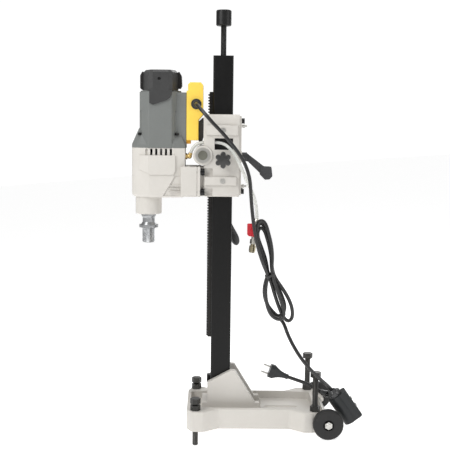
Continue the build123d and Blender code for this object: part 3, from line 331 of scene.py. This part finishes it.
def add_knob_star():
    """The moulded star of the lock knob: six full lobes with a rounded near edge."""
    star = bmesh.new()
    bmesh.ops.create_circle(star, cap_ends=True, radius=1.0, segments=120)
    for spot in star.verts:
        angle = math.atan2(spot.co.y, spot.co.x)
        reach = KNOB_VALLEY + KNOB_LOBE * abs(math.sin(KNOB_LOBES / 2 * angle)) ** KNOB_FULLNESS
        spot.co.x = reach * math.cos(angle)
        spot.co.y = reach * math.sin(angle)
    raise_copy(star, bmesh.ops.extrude_face_region(star, geom=star.faces[:]), KNOB_THICKNESS)
    rim = [edge for edge in star.edges if all(spot.co.z > 0.99 * KNOB_THICKNESS for spot in edge.verts)]
    bmesh.ops.bevel(star, geom=rim, offset=KNOB_EDGE, segments=4, profile=0.5, affect="EDGES", material=-1)
    bmesh.ops.recalc_face_normals(star, faces=star.faces)
    upright = Matrix.Translation(KNOB_PLACE) @ Matrix.Rotation(math.pi / 2, 4, "X")
    bmesh.ops.transform(star, verts=star.verts, matrix=upright)
    knob = shown_mesh("knob_star", star)
    for side in knob.data.polygons:
        side.use_smooth = True
    return knob


knob_star = add_knob_star()
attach(knob_star, "lock_knob")
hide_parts("lock_knob")

# ---- shared finish effects -----------------------------------------------------------------------
VECTOR, COLOUR, NUMBER = "NodeSocketVector", "NodeSocketColor", "NodeSocketFloat"


def effect(name, inputs, outputs):
    """An empty node group with named sockets, and its two end nodes."""
    group = bpy.data.node_groups.new(name, "ShaderNodeTree")
    for title, kind, value in inputs:
        socket = group.interface.new_socket(title, in_out="INPUT", socket_type=kind)
        if value is not None:
            socket.default_value = value
    for title, kind in outputs:
        group.interface.new_socket(title, in_out="OUTPUT", socket_type=kind)
    return group, group.nodes.new("NodeGroupInput").outputs, group.nodes.new("NodeGroupOutput").inputs


def give(tree, socket, value):
    """Gives a socket a plain value, or links another socket to it."""
    if isinstance(value, (int, float, tuple)):
        socket.default_value = value
    else:
        tree.links.new(value, socket)


def calc(tree, kind, *values, clamp=False):
    """A math node; each value is a socket or a plain number."""
    node = tree.nodes.new("ShaderNodeMath")
    node.operation = kind
    node.use_clamp = clamp
    for socket, value in zip(node.inputs, values):
        give(tree, socket, value)
    return node.outputs[0]


def parts_of(tree, vector):
    """A vector's X, Y and Z as sockets."""
    split = tree.nodes.new("ShaderNodeSeparateXYZ")
    tree.links.new(vector, split.inputs[0])
    return split.outputs


def noise(tree, vector, scale, detail=3.0, rough=0.55):
    node = tree.nodes.new("ShaderNodeTexNoise")
    node.inputs["Detail"].default_value = detail
    node.inputs["Roughness"].default_value = rough
    tree.links.new(vector, node.inputs["Vector"])
    give(tree, node.inputs["Scale"], scale)
    return node.outputs["Fac"]


def coarse_and_fine(tree, coarse, fine):
    return calc(tree, "ADD", calc(tree, "MULTIPLY", coarse, 0.7), calc(tree, "MULTIPLY", fine, 0.3))


def colour_socket(sockets, title):
    """The colour socket of a mix node, past its hidden number sockets."""
    return [s for s in sockets if s.name == title and s.type == "RGBA"][0]


def blend_colours(tree, share, one, two):
    """Mixes two colours; every argument is a socket or a plain value."""
    node = tree.nodes.new("ShaderNodeMix")
    node.data_type = "RGBA"
    give(tree, node.inputs[0], share)
    give(tree, colour_socket(node.inputs, "A"), one)
    give(tree, colour_socket(node.inputs, "B"), two)
    return colour_socket(node.outputs, "Result")


def make_patina():
    """Slow changes of tone and gloss over a surface."""
    tree, given, result = effect(
        "patina",
        [("Vector", VECTOR, None), ("Base", COLOUR, None), ("Tint", COLOUR, None),
         ("Patch Scale", NUMBER, 12.0), ("Amount", NUMBER, 0.5), ("Gloss", NUMBER, 0.4),
         ("Gloss Change", NUMBER, 0.15)],
        [("Colour", COLOUR), ("Roughness", NUMBER)])
    patches = noise(tree, given["Vector"], given["Patch Scale"], 5.0, 0.6)
    fine = noise(tree, given["Vector"], calc(tree, "MULTIPLY", given["Patch Scale"], 9.0), 3.0)
    middle = calc(tree, "SUBTRACT", coarse_and_fine(tree, patches, fine), 0.5)
    spread = calc(tree, "MULTIPLY_ADD", middle, 3.2, 0.5, clamp=True)
    share = calc(tree, "MULTIPLY", spread, given["Amount"], clamp=True)
    tree.links.new(blend_colours(tree, share, given["Base"], given["Tint"]), result["Colour"])
    change = calc(tree, "MULTIPLY", calc(tree, "SUBTRACT", spread, 0.5), given["Gloss Change"])
    tree.links.new(calc(tree, "ADD", given["Gloss"], change, clamp=True), result["Roughness"])
    return tree


def make_rubbed_edges():
    """Where a corner turns within a small radius, broken up as handling wears it."""
    tree, given, result = effect(
        "rubbed_edges",
        [("Vector", VECTOR, None), ("Radius", NUMBER, 0.0015), ("Amount", NUMBER, 0.6),
         ("Break Up", NUMBER, 60.0)],
        [("Mask", NUMBER)])
    rounded = tree.nodes.new("ShaderNodeBevel")
    rounded.samples = 4
    tree.links.new(given["Radius"], rounded.inputs["Radius"])
    surface = tree.nodes.new("ShaderNodeNewGeometry")
    likeness = tree.nodes.new("ShaderNodeVectorMath")
    likeness.operation = "DOT_PRODUCT"
    tree.links.new(rounded.outputs["Normal"], likeness.inputs[0])
    tree.links.new(surface.outputs["Normal"], likeness.inputs[1])
    turn_of_surface = calc(tree, "SUBTRACT", 1.0, likeness.outputs["Value"])
    edge = calc(tree, "MULTIPLY", turn_of_surface, 7.0, clamp=True)
    marks = calc(tree, "SUBTRACT", noise(tree, given["Vector"], given["Break Up"], 6.0, 0.7), 0.42)
    patches = calc(tree, "MULTIPLY", marks, 6.0, clamp=True)
    worn = calc(tree, "MULTIPLY", edge, patches)
    tree.links.new(calc(tree, "MULTIPLY", worn, given["Amount"], clamp=True), result["Mask"])
    return tree


def make_grain():
    """Fine height of a cast, moulded or brushed skin; Stretch pulls it out along the object's height."""
    tree, given, result = effect(
        "grain",
        [("Vector", VECTOR, None), ("Scale", NUMBER, 400.0), ("Stretch", NUMBER, 1.0)],
        [("Height", NUMBER)])
    pulled = tree.nodes.new("ShaderNodeCombineXYZ")
    pulled.inputs["X"].default_value = 1.0
    pulled.inputs["Y"].default_value = 1.0
    tree.links.new(given["Stretch"], pulled.inputs["Z"])
    scaled = tree.nodes.new("ShaderNodeVectorMath")
    scaled.operation = "MULTIPLY"
    tree.links.new(given["Vector"], scaled.inputs[0])
    tree.links.new(pulled.outputs[0], scaled.inputs[1])
    stretched = scaled.outputs["Vector"]
    coarse = noise(tree, stretched, given["Scale"], 4.0, 0.6)
    fine = noise(tree, stretched, calc(tree, "MULTIPLY", given["Scale"], 3.1), 2.0)
    tree.links.new(coarse_and_fine(tree, coarse, fine), result["Height"])
    return tree


def make_dust():
    """Pale dust on what faces up, thin and patchy."""
    tree, given, result = effect(
        "settled_dust", [("Vector", VECTOR, None), ("Amount", NUMBER, 0.2)], [("Mask", NUMBER)])
    facing = parts_of(tree, tree.nodes.new("ShaderNodeNewGeometry").outputs["Normal"])
    up = calc(tree, "MULTIPLY", calc(tree, "SUBTRACT", facing["Z"], 0.25), 1.6, clamp=True)
    patches = calc(tree, "MULTIPLY", noise(tree, given["Vector"], 34.0, 6.0, 0.65), 1.3, clamp=True)
    settled = calc(tree, "MULTIPLY", up, patches)
    tree.links.new(calc(tree, "MULTIPLY", settled, given["Amount"]), result["Mask"])
    return tree


def make_thread():
    """Rings of a screw thread along the height, between two heights."""
    tree, given, result = effect(
        "screw_thread",
        [("Vector", VECTOR, None), ("Pitch", NUMBER, 0.002), ("Low", NUMBER, -10.0),
         ("High", NUMBER, 10.0)],
        [("Height", NUMBER)])
    height = parts_of(tree, given["Vector"])["Z"]
    wave = calc(tree, "PINGPONG", calc(tree, "DIVIDE", height, given["Pitch"]), 0.5)
    above = calc(tree, "GREATER_THAN", height, given["Low"])
    below = calc(tree, "LESS_THAN", height, given["High"])
    inside = calc(tree, "MULTIPLY", above, below)
    tree.links.new(calc(tree, "MULTIPLY", calc(tree, "MULTIPLY", wave, 2.0), inside), result["Height"])
    return tree


def make_turning_rings():
    """Fine rings round an axis that runs front to back, as a lathe leaves on an end face."""
    tree, given, result = effect(
        "turning_rings",
        [("Vector", VECTOR, None), ("X", NUMBER, 0.0), ("Z", NUMBER, 0.0), ("Pitch", NUMBER, 0.0008)],
        [("Height", NUMBER)])
    place = parts_of(tree, given["Vector"])
    squares = []
    for title in ("X", "Z"):
        gap = calc(tree, "SUBTRACT", place[title], given[title])
        squares.append(calc(tree, "MULTIPLY", gap, gap))
    far = calc(tree, "SQRT", calc(tree, "ADD", *squares))
    tree.links.new(calc(tree, "PINGPONG", calc(tree, "DIVIDE", far, given["Pitch"]), 0.5), result["Height"])
    return tree


PATINA = make_patina()
RUBBED_EDGES = make_rubbed_edges()
GRAIN = make_grain()
DUST = make_dust()
THREAD = make_thread()
TURNING_RINGS = make_turning_rings()


class Finish:
    """A material in the making: its tree, its shader and the object's own coordinates."""

    def __init__(self, name, metallic=0.0, coat=0.0, specular=0.5):
        self.material = bpy.data.materials.new(name)
        self.material.use_nodes = True
        self.tree = self.material.node_tree
        self.shader = self.tree.nodes["Principled BSDF"]
        self.shader.inputs["Metallic"].default_value = metallic
        self.shader.inputs["Coat Weight"].default_value = coat
        self.shader.inputs["Coat Roughness"].default_value = 0.12
        self.shader.inputs["Specular IOR Level"].default_value = specular
        self.vector = self.tree.nodes.new("ShaderNodeTexCoord").outputs["Object"]
        self.heights = []
        self.colour = None

    def place(self, group, **values):
        """Puts a shared effect in this material with its own values, and returns what it puts out."""
        node = self.tree.nodes.new("ShaderNodeGroup")
        node.node_tree = group
        self.tree.links.new(self.vector, node.inputs["Vector"])
        for title, value in values.items():
            give(self.tree, node.inputs[title.replace("_", " ")], value)
        return node.outputs

    def skin(self, base, tint, scale, amount, gloss, change):
        """The main colour, with patches of a second one, and its gloss."""
        both = self.place(PATINA, Base=(*base, 1.0), Tint=(*tint, 1.0), Patch_Scale=scale, Amount=amount,
                          Gloss=gloss, Gloss_Change=change)
        self.colour = both["Colour"]
        self.roughness = both["Roughness"]

    def over(self, mask, colour, rough=None):
        """Lays another colour, and gloss, over the skin where the mask is white."""
        self.colour = blend_colours(self.tree, mask, self.colour, (*colour, 1.0))
        if rough is not None:
            gap = calc(self.tree, "SUBTRACT", rough, self.roughness)
            self.roughness = calc(self.tree, "ADD", self.roughness, calc(self.tree, "MULTIPLY", gap, mask))

    def worn(self, colour, amount, radius, break_up, rough=0.35):
        rubbed = self.place(RUBBED_EDGES, Radius=radius, Amount=amount, Break_Up=break_up)
        self.over(rubbed["Mask"], colour, rough)

    def dusty(self, colour, amount):
        self.over(self.place(DUST, Amount=amount)["Mask"], colour, 0.8)

    def relief(self, height, depth, strength):
        self.heights.append((height, depth, strength))

    def grained(self, scale, depth, strength, stretch=1.0):
        self.relief(self.place(GRAIN, Scale=scale, Stretch=stretch)["Height"], depth, strength)

    def inside(self, low, high):
        """A mask that is white within the box between two corners."""
        place = parts_of(self.tree, self.vector)
        steps = []
        for title, least, most in zip("XYZ", low, high):
            steps.append(calc(self.tree, "GREATER_THAN", place[title], least))
            steps.append(calc(self.tree, "LESS_THAN", place[title], most))
        mask = steps[0]
        for step in steps[1:]:
            mask = calc(self.tree, "MULTIPLY", mask, step)
        return mask

    def done(self, soft_corner=0.0):
        """Joins up the shader; soft_corner is the radius that sharp corners are shaded with."""
        normal = None
        if soft_corner > 0:
            corner = self.tree.nodes.new("ShaderNodeBevel")
            corner.samples = 4
            corner.inputs["Radius"].default_value = soft_corner
            normal = corner.outputs["Normal"]
        for height, depth, strength in self.heights:
            bump = self.tree.nodes.new("ShaderNodeBump")
            bump.inputs["Distance"].default_value = depth
            bump.inputs["Strength"].default_value = strength
            self.tree.links.new(height, bump.inputs["Height"])
            if normal is not None:
                self.tree.links.new(normal, bump.inputs["Normal"])
            normal = bump.outputs["Normal"]
        if normal is not None:
            self.tree.links.new(normal, self.shader.inputs["Normal"])
        self.tree.links.new(self.colour, self.shader.inputs["Base Color"])
        self.tree.links.new(self.roughness, self.shader.inputs["Roughness"])
        return self.material


# ---- finishes ------------------------------------------------------------------------------------
# the deep window behind the hose: its faces get painted shade, near black, in the carriage's paint
WINDOW_SHADE_BOX = ((-0.0600, -0.0500, 0.7325), (-0.0115, -0.0290, 0.7635))


def cast_paint(name, painted_shade_box=None):
    """The castings' pale paint; faces within the box, if one is given, are painted near black as painted
    shade for a deep recess.
    """
    made = Finish(name, coat=0.06, specular=0.4)
    made.skin((0.62, 0.595, 0.555), (0.565, 0.54, 0.495), scale=9.0, amount=0.5, gloss=0.44, change=0.14)
    made.worn((0.42, 0.40, 0.36), 0.35, radius=0.0012, break_up=90.0)
    if painted_shade_box:
        # painted shade: the faces inside the box are painted near black
        made.over(made.inside(*painted_shade_box), (0.028, 0.027, 0.026), 0.6)
    made.dusty((0.56, 0.52, 0.46), 0.18)
    made.grained(520.0, 0.00035, 0.45)
    return made.done(0.0016)


def moulding(name, base, tint, gloss, grain_scale=900.0, depth=0.00018, coat=0.0, wear=0.25,
             worn=(0.2, 0.2, 0.19), specular=0.28):
    """Moulded plastic or rubber with a fine grain and slightly rubbed edges."""
    made = Finish(name, coat=coat, specular=specular)
    made.skin(base, tint, scale=22.0, amount=0.6, gloss=gloss, change=0.16)
    made.worn(worn, wear, radius=0.0009, break_up=110.0)
    made.grained(grain_scale, depth, 0.5)
    return made.done(0.0009)


def column_enamel():
    made = Finish("column_enamel", coat=0.05, specular=0.2)
    made.skin((0.0045, 0.0045, 0.0044), (0.0085, 0.0082, 0.008), scale=8.0, amount=0.6, gloss=0.36,
              change=0.12)
    made.worn((0.11, 0.11, 0.11), 0.35, radius=0.0012, break_up=60.0)
    made.grained(260.0, 0.00022, 0.35, stretch=0.35)
    return made.done(0.0008)


def plated_steel(name, base, tint, gloss, wear=0.0):
    made = Finish(name, metallic=1.0)
    made.skin(base, tint, scale=50.0, amount=0.55, gloss=gloss, change=0.2)
    if wear > 0:
        made.worn((0.75, 0.74, 0.72), wear, radius=0.0008, break_up=140.0, rough=0.25)
    made.grained(900.0, 0.00008, 0.4)
    return made.done(0.0006)


def threaded_steel(name, base, tint, gloss, pitch, low, high, depth):
    """Steel with a thread between two heights; the thread's roots get painted shade, darker than its
    crests.
    """
    made = Finish(name, metallic=1.0)
    made.skin(base, tint, scale=60.0, amount=0.5, gloss=gloss, change=0.12)
    crest = made.place(THREAD, Pitch=pitch, Low=low, High=high)["Height"]
    # painted shade in the thread's roots, since the thread itself is only a bump
    painted_root_shade = calc(made.tree, "MULTIPLY", calc(made.tree, "LESS_THAN", crest, 0.35), 0.55)
    made.over(painted_root_shade, tuple(0.35 * c for c in base), 0.5)
    made.relief(crest, depth, 0.9)
    made.grained(700.0, 0.00002, 0.2)
    return made.done(0.0005)


def turned_end(name, base, tint, x, z):
    """Steel whose near end face shows the rings of the lathe round x, z."""
    made = Finish(name, metallic=1.0)
    made.skin(base, tint, scale=40.0, amount=0.5, gloss=0.34, change=0.15)
    rings = made.place(TURNING_RINGS, X=x, Z=z, Pitch=0.0011)["Height"]
    made.over(calc(made.tree, "MULTIPLY", rings, 0.5), (0.20, 0.19, 0.15))
    made.relief(rings, 0.0002, 0.5)
    made.grained(900.0, 0.00006, 0.4)
    return made.done(0.0006)


def rubber_sheath():
    made = Finish("cord_rubber", coat=0.15, specular=0.45)
    made.skin((0.013, 0.013, 0.013), (0.021, 0.020, 0.020), scale=30.0, amount=0.6, gloss=0.30, change=0.12)
    made.dusty((0.14, 0.135, 0.13), 0.08)
    made.grained(1200.0, 0.00012, 0.5)
    return made.done()


def clear_tube():
    made = Finish("hose_clear", coat=0.3, specular=0.6)
    made.skin((0.80, 0.80, 0.76), (0.68, 0.70, 0.66), scale=25.0, amount=0.5, gloss=0.22, change=0.12)
    made.shader.inputs["Transmission Weight"].default_value = 0.25
    made.shader.inputs["Subsurface Weight"].default_value = 0.3
    made.shader.inputs["Subsurface Radius"].default_value = (0.004, 0.004, 0.004)
    made.grained(500.0, 0.0001, 0.3)
    return made.done()


def glowing_floor():
    """White paint with a little light of its own, so that the floor runs into the backdrop."""
    made = Finish("floor_paint")
    made.skin((0.88, 0.88, 0.88), (0.86, 0.86, 0.86), scale=1.5, amount=0.4, gloss=0.7, change=0.05)
    made.shader.inputs["Emission Color"].default_value = (1.0, 1.0, 1.0, 1.0)
    made.shader.inputs["Emission Strength"].default_value = 0.66
    return made.done()


casting_paint = cast_paint("casting_paint")
# the carriage's paint, with painted shade in its window
window_shade_paint = cast_paint("carriage_paint", WINDOW_SHADE_BOX)
motor_grey = moulding("motor_grey", (0.172, 0.181, 0.174), (0.150, 0.158, 0.151), 0.5, depth=0.0003,
                      specular=0.4)
cap_black = moulding("cap_black", (0.042, 0.042, 0.042), (0.058, 0.058, 0.058), 0.42)
vent_black = moulding("vent_black", (0.010, 0.009, 0.009), (0.016, 0.015, 0.015), 0.5)
box_yellow = moulding("box_yellow", (0.94, 0.655, 0.095), (0.86, 0.575, 0.07), 0.38, depth=0.00012,
                      coat=0.15, wear=0.15, worn=(0.85, 0.62, 0.2), specular=0.5)
latch_orange = moulding("latch_orange", (0.86, 0.43, 0.035), (0.76, 0.36, 0.03), 0.4, depth=0.00012,
                        coat=0.1, wear=0.15, worn=(0.85, 0.6, 0.2), specular=0.5)
knob_black = moulding("knob_black", (0.030, 0.030, 0.029), (0.045, 0.045, 0.044), 0.22, coat=0.7, wear=0.2)
lever_grey = moulding("lever_grey", (0.048, 0.048, 0.051), (0.068, 0.068, 0.071), 0.45, wear=0.5,
                      worn=(0.30, 0.30, 0.30))
rcd_grey = moulding("rcd_grey", (0.019, 0.021, 0.022), (0.028, 0.030, 0.031), 0.40, coat=0.08)
gland_grey = moulding("gland_grey", (0.040, 0.041, 0.042), (0.065, 0.066, 0.067), 0.24, coat=0.5, wear=0.4)
button_grey = moulding("button_grey", (0.36, 0.36, 0.35), (0.28, 0.28, 0.27), 0.4)
tyre_rubber = moulding("tyre_rubber", (0.021, 0.021, 0.021), (0.034, 0.033, 0.032), 0.6, 700.0, 0.0003,
                       worn=(0.12, 0.12, 0.115))
pad_plastic = moulding("pad_plastic", (0.72, 0.70, 0.62), (0.62, 0.6, 0.52), 0.4)
tap_red = moulding("tap_red", (0.62, 0.022, 0.035), (0.52, 0.016, 0.028), 0.3, coat=0.3, wear=0.15,
                   worn=(0.5, 0.1, 0.1))
column_paint = column_enamel()
zinc = plated_steel("zinc_plate", (0.60, 0.59, 0.56), (0.46, 0.45, 0.42), 0.33, wear=0.3)
dark_screw = threaded_steel("levelling_screw_steel", (0.085, 0.083, 0.08), (0.13, 0.128, 0.12), 0.36,
                            pitch=0.002, low=-1.0, high=2.0, depth=0.0009)
jack_steel = threaded_steel("jack_screw_steel", (0.05, 0.05, 0.05), (0.08, 0.08, 0.08), 0.36,
                            pitch=0.002, low=0.9, high=1.036, depth=0.0009)
rack_steel = plated_steel("rack_steel", (0.030, 0.029, 0.028), (0.055, 0.053, 0.05), 0.38, wear=0.35)
bolt_black = plated_steel("bolt_black", (0.030, 0.030, 0.030), (0.045, 0.045, 0.045), 0.36, wear=0.3)
gear_steel = plated_steel("gear_steel", (0.5, 0.5, 0.5), (0.4, 0.4, 0.38), 0.35)
spindle_chrome = threaded_steel("spindle_chrome", (0.60, 0.61, 0.62), (0.42, 0.43, 0.44), 0.18,
                                pitch=0.0032, low=0.499, high=0.5365, depth=0.0016)
brass = plated_steel("brass", (0.70, 0.50, 0.20), (0.55, 0.38, 0.14), 0.28, wear=0.15)
bush_steel = plated_steel("bush_steel", (0.52, 0.51, 0.48), (0.40, 0.39, 0.36), 0.38)
dull_brass = plated_steel("dull_brass", (0.40, 0.35, 0.23), (0.26, 0.23, 0.16), 0.26, wear=0.3)
nickel = plated_steel("nickel", (0.62, 0.60, 0.55), (0.45, 0.43, 0.38), 0.24, wear=0.15)
iron = plated_steel("stator_iron", (0.20, 0.17, 0.15), (0.3, 0.15, 0.08), 0.5)
shaft_steel = turned_end("shaft_steel", (0.20, 0.20, 0.165), (0.30, 0.30, 0.26), -0.08725, 0.720)
cord_rubber = rubber_sheath()
hose_clear = clear_tube()

coats = {
    casting_paint: ["base_casting", "carriage_rear_cover", "gearbox_housing"],
    window_shade_paint: ["carriage_housing"],
    motor_grey: ["motor_housing"],
    cap_black: ["motor_cap", "cable_gland", "feed_lever_grip", "column_plugs", "power_rocker",
                "switch_box_bracket"],
    latch_orange: ["switch_box_latch"],
    vent_black: ["cap_side_vents"],
    box_yellow: ["switch_box_cover", "switch_box_back"],
    lever_grey: ["clamp_lever"],
    rcd_grey: ["rcd_body", "plug_body"],
    gland_grey: ["rcd_glands"],
    button_grey: ["rcd_test_button", "rcd_reset_button"],
    tyre_rubber: ["wheel_near", "wheel_far"],
    pad_plastic: ["slide_pads"],
    tap_red: ["tap_lever"],
    column_paint: ["column_tube", "travel_stop_block"],
    zinc: ["wheel_axle", "axle_nuts", "guide_adjusting_screws", "feed_lever", "plug_pins"],
    dark_screw: ["levelling_screw_front_near", "levelling_screw_front_far", "levelling_screw_rear_near",
                 "levelling_screw_rear_far", "levelling_locknuts"],
    jack_steel: ["jack_screw", "jack_pad"],
    rack_steel: ["feed_rack", "column_screws"],
    bolt_black: ["carriage_bolts", "motor_screws"],
    gear_steel: ["rotor", "layshaft_gears", "shaft_bearings"],
    spindle_chrome: ["spindle"],
    brass: ["water_elbow"],
    dull_brass: ["tap_coupler"],
    nickel: ["tap_body"],
    bush_steel: ["pinion_bushes"],
    iron: ["stator"],
    shaft_steel: ["pinion_shaft"],
}
new_pieces = [(mains_cord, cord_rubber), (plug_lead, cord_rubber), (water_line, hose_clear),
              (tie_band, cap_black), (knob_star, knob_black)]


def paint(piece, coat):
    """Leaves a piece with one material."""
    piece.data.materials.clear()
    piece.data.materials.append(coat)


for coat, names in coats.items():
    for name in names:
        paint(nodes[name], coat)
for piece, coat in new_pieces:
    paint(piece, coat)
paint(studio_floor, glowing_floor())

bpy.context.view_layer.update()
